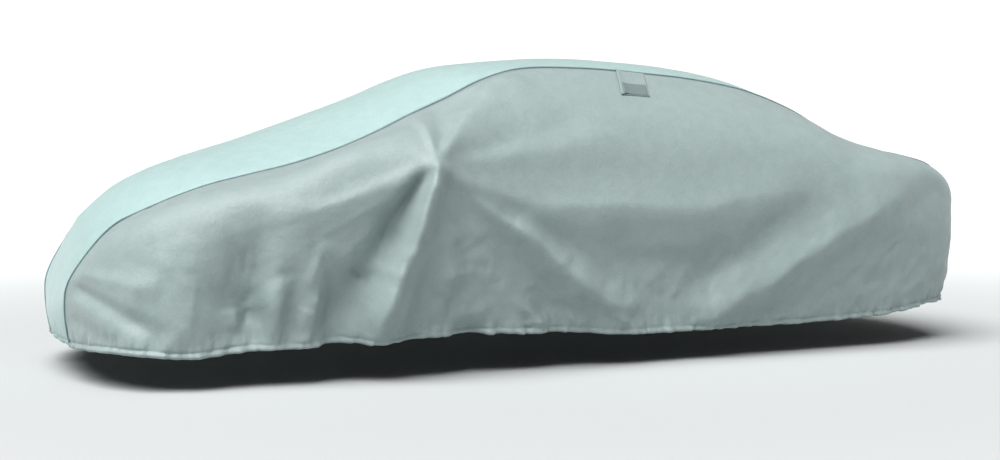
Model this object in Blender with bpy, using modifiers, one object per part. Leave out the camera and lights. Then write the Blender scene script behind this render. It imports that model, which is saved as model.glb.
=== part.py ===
"""Fitted cloth cover, in metres, +Z up, nose towards -X.

A pale top panel runs from the nose hem over the crown to the tail hem. A grey side panel
hangs on each side, a piping cord is sewn into each long seam, and a label sits on a flap
that lies across the left seam.
The tables give X from the middle of the cover's length, roughly, Z from the floor below it
and widths out from its centre plane.
"""

import bisect
import math

import bpy
from mathutils import Vector

# The top of the hollow under the cover, which carries it. It becomes the origin.
CROWN_X = 0.50
CROWN_Z = 1.485

CLOTH = 0.0025  # coated nonwoven, drawn a little thicker than it is
PIPING_RADIUS = 0.004
SEWN_GAP = 0.0005  # between two pieces that are sewn together
PIPING_GAP = 0.0012  # between the cord and a cloth edge, which folds can tilt towards it

# One row for each rib of a side panel, from the nose seam round to the tail seam.
# A rib falls from the long seam over the waist, where the cover is widest, to the hem, and
# bulges above the waist by the last number. The centre is the top panel's, beside that rib.
RIB_COLUMNS = (
    "seam_x", "seam_y", "seam_z",
    "waist_x", "waist_y", "waist_z",
    "hem_x", "hem_y", "hem_z",
    "centre_x", "centre_z", "bulge",
)
RIB_ROWS = (
    (-1.762, 0.440, 0.702, -1.984, 0.305, 0.370, -1.959, 0.280, 0.143, -1.868, 0.700, -0.020),
    (-1.650, 0.495, 0.757, -1.905, 0.500, 0.450, -1.925, 0.490, 0.147, -1.778, 0.786, 0.020),
    (-1.540, 0.525, 0.805, -1.830, 0.650, 0.480, -1.865, 0.670, 0.154, -1.690, 0.855, 0.030),
    (-1.400, 0.555, 0.855, -1.700, 0.780, 0.520, -1.760, 0.800, 0.150, -1.550, 0.925, 0.035),
    (-1.245, 0.585, 0.895, -1.490, 0.860, 0.570, -1.570, 0.865, 0.137, -1.380, 0.985, 0.040),
    (-1.050, 0.605, 0.943, -1.220, 0.900, 0.640, -1.290, 0.885, 0.152, -1.140, 1.058, 0.040),
    (-0.850, 0.608, 1.007, -0.960, 0.915, 0.790, -1.010, 0.885, 0.162, -0.920, 1.133, 0.035),
    (-0.660, 0.595, 1.084, -0.730, 0.920, 0.865, -0.770, 0.885, 0.174, -0.720, 1.208, 0.020),
    (-0.480, 0.572, 1.168, -0.510, 0.925, 0.900, -0.540, 0.885, 0.179, -0.530, 1.284, 0.000),
    (-0.290, 0.548, 1.250, -0.300, 0.925, 0.860, -0.310, 0.885, 0.178, -0.340, 1.362, 0.010),
    (-0.090, 0.520, 1.342, -0.090, 0.922, 0.800, -0.080, 0.885, 0.173, -0.140, 1.425, 0.015),
    (0.130, 0.505, 1.400, 0.090, 0.920, 0.765, 0.100, 0.885, 0.165, 0.130, 1.464, 0.020),
    (0.470, 0.500, 1.409, 0.390, 0.920, 0.740, 0.390, 0.885, 0.155, 0.500, 1.485, 0.020),
    (0.790, 0.500, 1.393, 0.700, 0.918, 0.740, 0.700, 0.885, 0.147, 0.800, 1.479, 0.020),
    (1.080, 0.505, 1.370, 1.020, 0.915, 0.765, 1.030, 0.882, 0.143, 1.090, 1.456, 0.020),
    (1.380, 0.525, 1.320, 1.360, 0.910, 0.810, 1.370, 0.876, 0.142, 1.400, 1.405, 0.015),
    (1.650, 0.545, 1.228, 1.680, 0.903, 0.860, 1.690, 0.868, 0.146, 1.680, 1.292, 0.010),
    (1.890, 0.570, 1.105, 1.920, 0.890, 0.860, 1.920, 0.855, 0.155, 1.940, 1.128, -0.010),
    (2.120, 0.595, 1.027, 2.160, 0.870, 0.840, 2.140, 0.835, 0.172, 2.190, 1.045, 0.000),
    (2.330, 0.610, 0.987, 2.380, 0.830, 0.800, 2.340, 0.790, 0.192, 2.420, 1.010, 0.020),
    (2.500, 0.610, 0.948, 2.555, 0.760, 0.720, 2.520, 0.720, 0.207, 2.590, 0.965, 0.020),
    (2.600, 0.578, 0.897, 2.655, 0.640, 0.660, 2.615, 0.615, 0.218, 2.682, 0.895, 0.010),
    (2.660, 0.518, 0.836, 2.708, 0.475, 0.600, 2.672, 0.465, 0.223, 2.738, 0.835, 0.000),
)

# The top panel's centre line down the nose and down the tail, at even shares of the drop.
NOSE_CENTRE_ROWS = (
    (-1.868, 0.700),
    (-1.924, 0.580),
    (-1.963, 0.450),
    (-2.003, 0.290),
    (-1.972, 0.143),
)
TAIL_CENTRE_ROWS = (
    (2.738, 0.835),
    (2.785, 0.700),
    (2.795, 0.545),
    (2.775, 0.385),
    (2.715, 0.225),
)

# Folds of a side panel, seen square to it. A soft ridge, or a trough where the rise is
# under 0, runs from one end to the other and is as wide as given at each. Lean widens the
# flank that lies to the right of the way it runs, and narrows the other.
FOLD_COLUMNS = ("x", "z", "to_x", "to_z", "width", "to_width", "rise", "lean")
LEFT_FOLDS = (
    # the fan below the side peak
    (-0.500, 0.930, -0.735, 0.190, 0.045, 0.120, 0.060, -0.35),
    (-0.600, 0.860, -0.900, 0.190, 0.040, 0.080, -0.035, 0.00),
    (-0.460, 0.860, 0.280, 0.180, 0.065, 0.150, -0.040, 0.00),
    (-0.440, 0.890, 0.580, 0.160, 0.070, 0.120, 0.060, 0.20),
    # the taut folds from the peak up to the seam
    (-0.490, 0.980, -0.170, 1.280, 0.030, 0.060, 0.014, 0.00),
    (-0.530, 0.980, -0.590, 1.150, 0.030, 0.050, 0.010, 0.00),
    (-0.440, 0.960, 0.300, 1.140, 0.030, 0.090, -0.012, 0.00),
    # the edge along the waist and the hollow below it
    (-0.450, 0.930, 0.330, 0.760, 0.050, 0.100, 0.025, 0.00),
    (-0.580, 0.920, -1.100, 0.780, 0.050, 0.100, 0.010, 0.00),
    (0.150, 0.640, 1.300, 0.620, 0.080, 0.100, -0.020, 0.00),
    # the long folds from the hem up to the tail
    (0.860, 0.180, 2.050, 0.750, 0.095, 0.150, 0.060, -0.20),
    (0.680, 0.260, 1.600, 0.740, 0.090, 0.130, -0.030, 0.00),
    (1.250, 0.160, 2.350, 0.480, 0.070, 0.140, -0.020, 0.00),
    # the nose corner and the hanging folds behind it
    (-1.960, 0.440, -1.660, 0.200, 0.040, 0.080, -0.020, 0.00),
    (-1.960, 0.370, -1.740, 0.190, 0.040, 0.060, 0.012, 0.00),
    (-1.660, 0.560, -1.680, 0.180, 0.080, 0.100, 0.012, 0.00),
    (-1.420, 0.600, -1.420, 0.180, 0.100, 0.120, -0.030, 0.00),
    (-1.260, 0.520, -1.330, 0.180, 0.050, 0.070, 0.018, 0.00),
    (-1.150, 0.500, -1.180, 0.180, 0.050, 0.060, -0.018, 0.00),
    (-1.030, 0.420, -1.100, 0.180, 0.050, 0.060, 0.018, 0.00),
)
RIGHT_FOLDS = (
    (-0.500, 0.930, -0.690, 0.180, 0.055, 0.130, 0.050, -0.30),
    (-0.600, 0.860, -0.860, 0.190, 0.045, 0.090, -0.030, 0.00),
    (-0.440, 0.850, 0.140, 0.180, 0.065, 0.140, -0.035, 0.00),
    (-0.420, 0.880, 0.440, 0.160, 0.070, 0.130, 0.050, 0.20),
    (-0.490, 0.980, -0.210, 1.270, 0.030, 0.060, 0.012, 0.00),
    (-0.450, 0.930, 0.330, 0.770, 0.050, 0.120, 0.020, 0.00),
    (-0.580, 0.920, -1.250, 0.720, 0.050, 0.120, 0.020, 0.00),
    (0.980, 0.180, 2.260, 0.820, 0.095, 0.150, 0.050, -0.20),
    (0.760, 0.260, 1.560, 0.700, 0.070, 0.120, -0.025, 0.00),
    (-1.950, 0.430, -1.690, 0.200, 0.045, 0.080, -0.018, 0.00),
    (-1.380, 0.580, -1.350, 0.180, 0.100, 0.120, -0.025, 0.00),
    (-1.160, 0.500, -1.110, 0.180, 0.060, 0.070, 0.018, 0.00),
)
# The sharp peak at which each side panel is held out, and how far it spreads each way.
PEAK_X, PEAK_Z = -0.52, 0.94
PEAK_PUSH = 0.085
PEAK_REACH = 0.34
PEAK_REACH_UP = 0.26
PEAK_REACH_DOWN = 0.50

# Where the ribs are cut across, as shares of their length from seam to hem.
RIB_STEPS = (0, 0.03, 0.07, 0.13, 0.19, 0.25, 0.30, 0.35, 0.40, 0.46, 0.53, 0.61, 0.70, 0.80, 0.90, 1)
# Where the top panel is cut along, as shares of its half width from the centre line.
TOP_STEPS = (0, 0.35, 0.68, 0.90, 1)
# The longest piece between two lengthwise cuts, in general and where the cloth is most folded.
LONG_CUT = 0.095
SHORT_CUT = 0.060
FOLDED_FROM_X, FOLDED_TO_X = -1.00, 0.60
CROWN_POWER = 2.2  # 2 would arch the top panel as a parabola
WAIST_FALL = 0.75  # how far the cloth has turned down at the waist: 1 is all the way

# The flap lies across the left seam, and the label covers its lower end.
FLAP_FROM_X = 0.640
FLAP_TO_X = 0.800
LABEL_INSET = 0.012
FLAP_THICK = 0.0015
LABEL_THICK = 0.001
FLAP_LAST_STEP = 3  # the flap's lower edge, as a place in RIB_STEPS
LABEL_FIRST_STEP = 2
FLAP_SEWN = 0.25  # how far its upper edge reaches over the top panel, in that panel's last step

MINT = (0.60, 0.79, 0.77)
GREY = (0.33, 0.41, 0.40)
SEAM_GREY = (0.16, 0.22, 0.22)
LABEL_GREY = (0.26, 0.33, 0.32)


def smooth(rows, share):
    """The row at share, from 0 to 1, on a smooth curve through evenly placed rows."""
    place = share * (len(rows) - 1)
    i = min(int(place), len(rows) - 2)
    t = place - i
    before = rows[max(i - 1, 0)]
    here, after = rows[i], rows[i + 1]
    beyond = rows[min(i + 2, len(rows) - 1)]
    out = []
    for a, b, c, d in zip(before, here, after, beyond):
        slope_b, slope_c = (c - a) / 2, (d - b) / 2
        if i == 0:
            slope_b = c - b
        if i == len(rows) - 2:
            slope_c = c - b
        out.append(
            b * (1 + 2 * t) * (1 - t) ** 2
            + slope_b * t * (1 - t) ** 2
            + c * t * t * (3 - 2 * t)
            + slope_c * t * t * (t - 1)
        )
    return out


def ease(t):
    """0 below 0, 1 above 1 and a smooth step between."""
    t = min(max(t, 0.0), 1.0)
    return t * t * (3 - 2 * t)


def rib_at(along):
    """Named places of the rib at along, from 0 at the nose seam to 1 at the tail seam."""
    return dict(zip(RIB_COLUMNS, smooth(RIB_ROWS, along)))


def along_at(seam_x):
    """The along of the rib whose seam end lies at seam_x."""
    low, high = 0.0, 1.0
    for _ in range(40):
        middle = (low + high) / 2
        if rib_at(middle)["seam_x"] < seam_x:
            low = middle
        else:
            high = middle
    return low


def plain_side(along, down):
    """The unfolded side panel, out to +Y: down runs from 0 at the seam to 1 at the hem."""
    rib = rib_at(along)
    seam = Vector((rib["seam_x"], rib["seam_y"], rib["seam_z"]))
    waist = Vector((rib["waist_x"], rib["waist_y"], rib["waist_z"]))
    hem = Vector((rib["hem_x"], rib["hem_y"], rib["hem_z"]))
    upper = (waist - seam).length
    turn = upper / (upper + (hem - waist).length)
    # Two smooth arcs that meet at the waist with one slope, mostly that of the lower one.
    above, below = (waist - seam) / turn, (hem - waist) / (1 - turn)
    slope = above + (below - above) * WAIST_FALL
    if down < turn:
        t, share, start, end = down / turn, turn, seam, waist
        first, last = above * 2 - slope, slope
        bulge = rib["bulge"]
    else:
        t, share, start, end = (down - turn) / (1 - turn), 1 - turn, waist, hem
        first, last = slope, below * 2 - slope
        bulge = 0
    chord = (end - start).normalized()
    stand = Vector((chord.x, chord.y, -chord.z))
    stand = (stand - chord * stand.dot(chord)).normalized()
    return (
        start * ((1 + 2 * t) * (1 - t) ** 2)
        + first * (share * t * (1 - t) ** 2)
        + end * (t * t * (3 - 2 * t))
        + last * (share * t * t * (t - 1))
        + stand * (bulge * (4 * t * (1 - t)) ** 2)
    )


def fold_push(x, z, fold):
    """How far one row of a fold table moves the cloth out at x, z."""
    f = dict(zip(FOLD_COLUMNS, fold))
    run_x, run_z = f["to_x"] - f["x"], f["to_z"] - f["z"]
    length = math.hypot(run_x, run_z)
    t = ((x - f["x"]) * run_x + (z - f["z"]) * run_z) / length**2
    aside = ((x - f["x"]) * run_z - (z - f["z"]) * run_x) / length
    width = f["width"] + (f["to_width"] - f["width"]) * min(max(t, 0.0), 1.0)
    aside = aside / width
    reach = 1 + f["lean"] if aside > 0 else 1 - f["lean"]
    ends = ease((t + 0.10) / 0.20) * ease((1.12 - t) / 0.24)
    return f["rise"] * ends * math.exp(-((aside / reach) ** 2))


def peak_push(x, z):
    """How far the side peak holds the cloth out at x, z."""
    reach = PEAK_REACH_UP if z > PEAK_Z else PEAK_REACH_DOWN
    away = math.hypot((x - PEAK_X) / PEAK_REACH, (z - PEAK_Z) / reach)
    return PEAK_PUSH * math.exp(-2.2 * away)


def side_point(along, down, folds):
    """The side panel as it hangs, out to +Y, with its peak and its folds."""
    step = 0.004
    here = plain_side(along, down)
    forth = plain_side(min(along + step, 1), down) - plain_side(max(along - step, 0), down)
    fall = plain_side(along, min(down + step, 1)) - plain_side(along, max(down - step, 0))
    out = forth.cross(fall).normalized()
    held = ease(down / 0.16) * ease(along / 0.04) * ease((1 - along) / 0.04)
    loose = 1 - 0.55 * ease((down - 0.85) / 0.15)
    push = peak_push(here.x, here.z)
    push += sum(fold_push(here.x, here.z, fold) for fold in folds)
    return here + out * push * held * loose


def sewn_edge(point, inner, before, after):
    """An edge point moved in from the seam line, to where the cloth meets the piping."""
    seam = (after - before).normalized()
    inwards = inner - point
    inwards -= seam * inwards.dot(seam)
    return point + inwards.normalized() * (PIPING_RADIUS + PIPING_GAP)


def along_steps():
    """The lengthwise cuts, with two more at each end of the flap."""
    sections = len(RIB_ROWS) - 1
    steps = [0.0]
    for i in range(sections):
        start, end = rib_at(i / sections), rib_at((i + 1) / sections)
        length = math.hypot(end["waist_x"] - start["waist_x"], end["waist_y"] - start["waist_y"])
        folded = FOLDED_FROM_X < (start["waist_x"] + end["waist_x"]) / 2 < FOLDED_TO_X
        cuts = math.ceil(length / (SHORT_CUT if folded else LONG_CUT))
        steps += [(i + (k + 1) / cuts) / sections for k in range(cuts)]
    for x in (FLAP_FROM_X, FLAP_FROM_X + LABEL_INSET, FLAP_TO_X - LABEL_INSET, FLAP_TO_X):
        bisect.insort(steps, along_at(x))
    return steps


def trimmed_to_piping(grid, edge, inner):
    """The edge's points, each moved in from the seam line towards its inner neighbour."""
    moved = []
    for k, place_on in enumerate(edge):
        before = edge[max(k - 1, 0)]
        after = edge[min(k + 1, len(edge) - 1)]
        i, j = inner[k]
        moved.append(sewn_edge(place_on, grid[i][j], before, after))
    return moved


def seam_places():
    """Rows and columns of a right side grid along its seam, from the nose hem to the tail hem."""
    last, low = len(along_steps()) - 1, len(RIB_STEPS) - 1
    nose = [(0, j) for j in range(low, 0, -1)]
    tail = [(last, j) for j in range(1, low + 1)]
    return nose + [(i, 0) for i in range(last + 1)] + tail


def side_grid(folds):
    """The right side panel: a rib for each row, from its seam down to its hem."""
    grid = [[side_point(along, down, folds) for down in RIB_STEPS] for along in along_steps()]
    last = len(grid) - 1
    places = seam_places()
    inner = [(min(max(i, 1), last - 1), max(j, 1)) for i, j in places]
    edge = trimmed_to_piping(grid, [grid[i][j] for i, j in places], inner)
    for (i, j), point in zip(places, edge):
        grid[i][j] = point
    return grid


def to_left(grid):
    """A right side grid mirrored to the left, its ribs turned to run up to the seam."""
    return [[Vector((p.x, -p.y, p.z)) for p in reversed(rib)] for rib in grid]


def seam_path():
    """The right seam from the nose hem to the tail hem, before the cloth is trimmed."""
    steps = along_steps()
    return [plain_side(steps[i], RIB_STEPS[j]) for i, j in seam_places()]


def centre_line():
    """The top panel's centre line, with a point for each point of the seam path."""
    nose = [smooth(NOSE_CENTRE_ROWS, down) for down in reversed(RIB_STEPS[1:])]
    ribs = [rib_at(along) for along in along_steps()]
    top = [(rib["centre_x"], rib["centre_z"]) for rib in ribs]
    tail = [smooth(TAIL_CENTRE_ROWS, down) for down in RIB_STEPS[1:]]
    return [Vector((x, 0, z)) for x, z in nose + top + tail]


def top_grid():
    """The top panel: a row from the left seam to the right seam for each point of the path."""
    grid = []
    for seam, centre in zip(seam_path(), centre_line()):
        half = []
        for share in TOP_STEPS:
            point = seam + (centre - seam) * (1 - share**CROWN_POWER)
            point.y = seam.y * share
            half.append(point)
        left = [Vector((p.x, -p.y, p.z)) for p in reversed(half[1:])]
        grid.append(left + half)
    last = len(grid[0]) - 1
    for edge, inner in ((0, 1), (last, last - 1)):
        places = [(i, inner) for i in range(len(grid))]
        moved = trimmed_to_piping(grid, [row[edge] for row in grid], places)
        for row, point in zip(grid, moved):
            row[edge] = point
    return grid


def outward(grid, i, j):
    """The outer normal at a grid's point: its rows run to the tail, its columns to the right."""
    rows, columns = len(grid) - 1, len(grid[0]) - 1
    forth = grid[min(i + 1, rows)][j] - grid[max(i - 1, 0)][j]
    across = grid[i][min(j + 1, columns)] - grid[i][max(j - 1, 0)]
    return forth.cross(across).normalized()


def piping_path(side, top):
    """The cord's middle on the right: out from the seam by half the cloth's thickness."""
    edge = len(top[0]) - 1
    path = []
    for row, (point, (i, j)) in enumerate(zip(seam_path(), seam_places())):
        out = (outward(top, row, edge) + outward(side, i, j)).normalized()
        path.append(point + out * CLOTH / 2)
    return path


def flap_and_label(side, top):
    """Points of the flap and of the label on it, both on the left cloth's own cuts."""
    steps = along_steps()
    first, last = steps.index(along_at(FLAP_FROM_X)), steps.index(along_at(FLAP_TO_X))
    seam = len(RIB_STEPS) - 1
    over_cloth = CLOTH + SEWN_GAP
    over_piping = CLOTH / 2 + PIPING_RADIUS + PIPING_GAP
    over_flap = over_cloth + FLAP_THICK + SEWN_GAP
    flap, label = [], []
    for i in range(first, last + 1):
        row = i + len(RIB_STEPS) - 1
        top_out, side_out = outward(top, row, 0), outward(side, i, seam)
        seam_out = (top_out + side_out).normalized()
        sewn = top[row][0].lerp(top[row][1], FLAP_SEWN)
        rib = [sewn + top_out * over_cloth]
        rib += [edge + seam_out * over_piping for edge in (top[row][0], side[i][seam])]
        for j in range(1, FLAP_LAST_STEP + 1):
            rib.append(side[i][seam - j] + outward(side, i, seam - j) * over_cloth)
        flap.append(rib[::-1])
        if first < i < last:
            label.append([
                side[i][seam - j] + outward(side, i, seam - j) * over_flap
                for j in range(FLAP_LAST_STEP, LABEL_FIRST_STEP - 1, -1)
            ])
    return flap, label


def material(name, colour, roughness):
    made = bpy.data.materials.new(name)
    made.use_nodes = True
    shader = made.node_tree.nodes["Principled BSDF"]
    shader.inputs["Base Color"].default_value = (*colour, 1)
    shader.inputs["Roughness"].default_value = roughness
    shader.inputs["Metallic"].default_value = 0
    return made


def place(made, finish, collection, origin):
    made.data.materials.append(finish)
    collection.objects.link(made)
    made.parent = origin


def sheet(name, grid, thick):
    """Cloth lofted through the rows of a grid and thickened on its outer face."""
    columns = len(grid[0])
    points = [point for row in grid for point in row]
    faces = []
    for i in range(len(grid) - 1):
        for a in range(i * columns, (i + 1) * columns - 1):
            faces.append((a, a + columns, a + columns + 1, a + 1))
    mesh = bpy.data.meshes.new(name)
    mesh.from_pydata(points, [], faces)
    mesh.shade_smooth()
    made = bpy.data.objects.new(name, mesh)
    shell = made.modifiers.new("cloth", "SOLIDIFY")
    shell.thickness = thick
    shell.offset = 1
    return made


def piping(name, path):
    """The cord that stands in a long seam."""
    curve = bpy.data.curves.new(name, "CURVE")
    curve.dimensions = "3D"
    spline = curve.splines.new("POLY")
    spline.points.add(len(path) - 1)
    for point, place_on in zip(spline.points, path):
        point.co = (*place_on, 1)
    curve.bevel_depth = PIPING_RADIUS
    curve.bevel_resolution = 1
    curve.use_fill_caps = True
    return bpy.data.objects.new(name, curve)


def build():
    for old in list(bpy.data.objects):
        bpy.data.objects.remove(old)
    cover = bpy.data.collections.new("car_cover")
    bpy.context.scene.collection.children.link(cover)
    origin = bpy.data.objects.new("crown", None)
    origin.location = (-CROWN_X, 0, -CROWN_Z)
    cover.objects.link(origin)

    mint = material("mint_cloth", MINT, 0.55)
    grey = material("grey_cloth", GREY, 0.5)
    cord = material("piping", SEAM_GREY, 0.6)
    woven = material("label_cloth", LABEL_GREY, 0.6)

    right = side_grid(RIGHT_FOLDS)
    left = to_left(side_grid(LEFT_FOLDS))
    top = top_grid()
    flap, label = flap_and_label(left, top)
    place(sheet("top_panel", top, CLOTH), mint, cover, origin)
    place(sheet("side_panel_left", left, CLOTH), grey, cover, origin)
    place(sheet("side_panel_right", right, CLOTH), grey, cover, origin)
    place(sheet("label_flap", flap, FLAP_THICK), grey, cover, origin)
    place(sheet("label", label, LABEL_THICK), woven, cover, origin)

    path = piping_path(right, top)
    mirrored = [Vector((p.x, -p.y, p.z)) for p in path]
    place(piping("piping_right", path), cord, cover, origin)
    place(piping("piping_left", mirrored), cord, cover, origin)


build()
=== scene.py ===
import math

import bpy
import numpy as np
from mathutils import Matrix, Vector


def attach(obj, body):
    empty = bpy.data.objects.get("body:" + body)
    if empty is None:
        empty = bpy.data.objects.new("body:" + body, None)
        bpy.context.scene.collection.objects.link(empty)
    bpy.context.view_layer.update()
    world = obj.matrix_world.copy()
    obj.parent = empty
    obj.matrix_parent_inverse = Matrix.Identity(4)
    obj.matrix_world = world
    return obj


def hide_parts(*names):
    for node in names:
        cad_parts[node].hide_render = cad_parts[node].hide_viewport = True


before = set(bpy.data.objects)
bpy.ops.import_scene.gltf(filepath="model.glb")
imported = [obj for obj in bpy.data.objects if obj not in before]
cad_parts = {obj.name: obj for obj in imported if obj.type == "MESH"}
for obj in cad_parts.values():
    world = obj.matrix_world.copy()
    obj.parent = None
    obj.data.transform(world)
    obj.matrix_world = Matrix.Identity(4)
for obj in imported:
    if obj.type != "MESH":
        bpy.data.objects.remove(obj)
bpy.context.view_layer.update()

# The tables give metres, with Z from the floor up. The origin sits under the cover's crown.
crown = {"x": 0.50, "z": 1.485}


def ease(t):  # from 0 to 1 with soft ends
    t = np.clip(t, 0.0, 1.0)
    return t * t * (3 - 2 * t)


def smoothRows(rows, share):  # share 0..1 along evenly placed rows, on a smooth curve
    rows = np.array(rows)
    last = len(rows) - 1
    place = np.clip(share, 0, 1) * last
    i = np.minimum(place.astype(int), last - 1)
    t = (place - i)[..., None]
    a, b = rows[np.maximum(i - 1, 0)], rows[i]
    c, d = rows[i + 1], rows[np.minimum(i + 2, last)]
    slopeB = np.where((i == 0)[..., None], c - b, (c - a) / 2)
    slopeC = np.where((i == last - 1)[..., None], c - b, (d - b) / 2)
    return (
        b * (1 + 2 * t) * (1 - t) ** 2
        + slopeB * t * (1 - t) ** 2
        + c * t * t * (3 - 2 * t)
        + slopeC * t * t * (t - 1)
    )


def cloudy(u, v, seed):  # smooth random field from -1 to 1, one bump for each unit
    table = np.random.default_rng(seed).uniform(-1, 1, (256, 256))
    iu, iv = np.floor(u).astype(int), np.floor(v).astype(int)
    fu, fv = u - iu, v - iv
    fu = fu**3 * (fu * (fu * 6 - 15) + 10)  # soft steps between the table's values
    fv = fv**3 * (fv * (fv * 6 - 15) + 10)
    a, b = table[iu % 256, iv % 256], table[(iu + 1) % 256, iv % 256]
    c, d = table[iu % 256, (iv + 1) % 256], table[(iu + 1) % 256, (iv + 1) % 256]
    return (a * (1 - fu) + b * fu) * (1 - fv) + (c * (1 - fu) + d * fu) * fv


def creased(u, v, seed):  # 0..1 with a thin crest wherever the cloudy field crosses 0
    return (1 - np.abs(cloudy(u, v, seed))) ** 3


def unit(vectors):
    return vectors / np.maximum(np.linalg.norm(vectors, axis=-1, keepdims=True), 1e-9)


# The form under the folds: ribs from the seam over the waist to the hem. Each row gives
# seam x y z, waist x y z, hem x y z, the top panel's centre x z beside it, bulge above the waist
ribs = (
    (-1.762, 0.440, 0.702, -1.984, 0.305, 0.370, -1.959, 0.280, 0.143, -1.868, 0.700, -0.020),
    (-1.650, 0.495, 0.757, -1.905, 0.500, 0.450, -1.925, 0.490, 0.147, -1.778, 0.786, 0.020),
    (-1.540, 0.525, 0.805, -1.830, 0.650, 0.480, -1.865, 0.670, 0.154, -1.690, 0.855, 0.030),
    (-1.400, 0.555, 0.855, -1.700, 0.780, 0.520, -1.760, 0.800, 0.150, -1.550, 0.925, 0.035),
    (-1.245, 0.585, 0.895, -1.490, 0.860, 0.570, -1.570, 0.865, 0.137, -1.380, 0.985, 0.040),
    (-1.050, 0.605, 0.943, -1.220, 0.900, 0.640, -1.290, 0.885, 0.152, -1.140, 1.058, 0.040),
    (-0.850, 0.608, 1.007, -0.960, 0.915, 0.790, -1.010, 0.885, 0.162, -0.920, 1.133, 0.035),
    (-0.660, 0.595, 1.084, -0.730, 0.920, 0.865, -0.770, 0.885, 0.174, -0.720, 1.208, 0.020),
    (-0.480, 0.572, 1.168, -0.510, 0.925, 0.900, -0.540, 0.885, 0.179, -0.530, 1.284, 0.000),
    (-0.290, 0.548, 1.250, -0.300, 0.925, 0.860, -0.310, 0.885, 0.178, -0.340, 1.362, 0.010),
    (-0.090, 0.520, 1.342, -0.090, 0.922, 0.800, -0.080, 0.885, 0.173, -0.140, 1.425, 0.015),
    (0.130, 0.505, 1.400, 0.090, 0.920, 0.765, 0.100, 0.885, 0.165, 0.130, 1.464, 0.020),
    (0.470, 0.500, 1.409, 0.390, 0.920, 0.740, 0.390, 0.885, 0.155, 0.500, 1.485, 0.020),
    (0.790, 0.500, 1.393, 0.700, 0.918, 0.740, 0.700, 0.885, 0.147, 0.800, 1.479, 0.020),
    (1.080, 0.505, 1.370, 1.020, 0.915, 0.765, 1.030, 0.882, 0.143, 1.090, 1.456, 0.020),
    (1.380, 0.525, 1.320, 1.360, 0.910, 0.810, 1.370, 0.876, 0.142, 1.400, 1.405, 0.015),
    (1.650, 0.545, 1.228, 1.680, 0.903, 0.860, 1.690, 0.868, 0.146, 1.680, 1.292, 0.010),
    (1.890, 0.570, 1.105, 1.920, 0.890, 0.860, 1.920, 0.855, 0.155, 1.940, 1.128, -0.010),
    (2.120, 0.595, 1.027, 2.160, 0.870, 0.840, 2.140, 0.835, 0.172, 2.190, 1.045, 0.000),
    (2.330, 0.610, 0.987, 2.380, 0.830, 0.800, 2.340, 0.790, 0.192, 2.420, 1.010, 0.020),
    (2.500, 0.610, 0.948, 2.555, 0.760, 0.720, 2.520, 0.720, 0.207, 2.590, 0.965, 0.020),
    (2.600, 0.578, 0.897, 2.655, 0.640, 0.660, 2.615, 0.615, 0.218, 2.682, 0.895, 0.010),
    (2.660, 0.518, 0.836, 2.708, 0.475, 0.600, 2.672, 0.465, 0.223, 2.738, 0.835, 0.000),
)
# x z down the middle of the top panel, from the first and last rib to its two hems
noseCentre = ((-1.868, 0.700), (-1.924, 0.580), (-1.963, 0.450), (-2.003, 0.290), (-1.972, 0.143))
tailCentre = ((2.738, 0.835), (2.785, 0.700), (2.795, 0.545), (2.775, 0.385), (2.715, 0.225))
waistFall = 0.75  # how far the cloth has turned down at the waist
crownPower = 2.2  # 2 would arch the top panel as a parabola


def plainSide(along, down):  # the unfolded side panel, out to +Y
    rib = smoothRows(ribs, along)
    seam, waist, hem = rib[..., 0:3], rib[..., 3:6], rib[..., 6:9]
    upper = np.linalg.norm(waist - seam, axis=-1, keepdims=True)
    turn = upper / (upper + np.linalg.norm(hem - waist, axis=-1, keepdims=True))
    above, below = (waist - seam) / turn, (hem - waist) / (1 - turn)
    slope = above + (below - above) * waistFall
    down = down[..., None]
    high = down < turn
    share = np.where(high, turn, 1 - turn)
    t = np.where(high, down / turn, (down - turn) / (1 - turn))
    start, end = np.where(high, seam, waist), np.where(high, waist, hem)
    first = np.where(high, above * 2 - slope, slope)
    last = np.where(high, slope, below * 2 - slope)
    # the bulge above the waist stands out square to the straight line from seam to waist
    chord = unit(end - start)
    stand = chord * (1, 1, -1)
    stand = unit(stand - chord * (stand * chord).sum(-1, keepdims=True))
    bulge = np.where(high, rib[..., 11:12], 0) * (4 * t * (1 - t)) ** 2
    return (
        start * ((1 + 2 * t) * (1 - t) ** 2)
        + first * (share * t * (1 - t) ** 2)
        + end * (t * t * (3 - 2 * t))
        + last * (share * t * t * (t - 1))
        + stand * bulge
    )


def sideNormal(along, down, step=0.004):
    ahead, behind = np.minimum(along + step, 1), np.maximum(along - step, 0)
    lower, higher = np.minimum(down + step, 1), np.maximum(down - step, 0)
    forth = plainSide(ahead, down) - plainSide(behind, down)
    fall = plainSide(along, lower) - plainSide(along, higher)
    return unit(np.cross(forth, fall))


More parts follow.
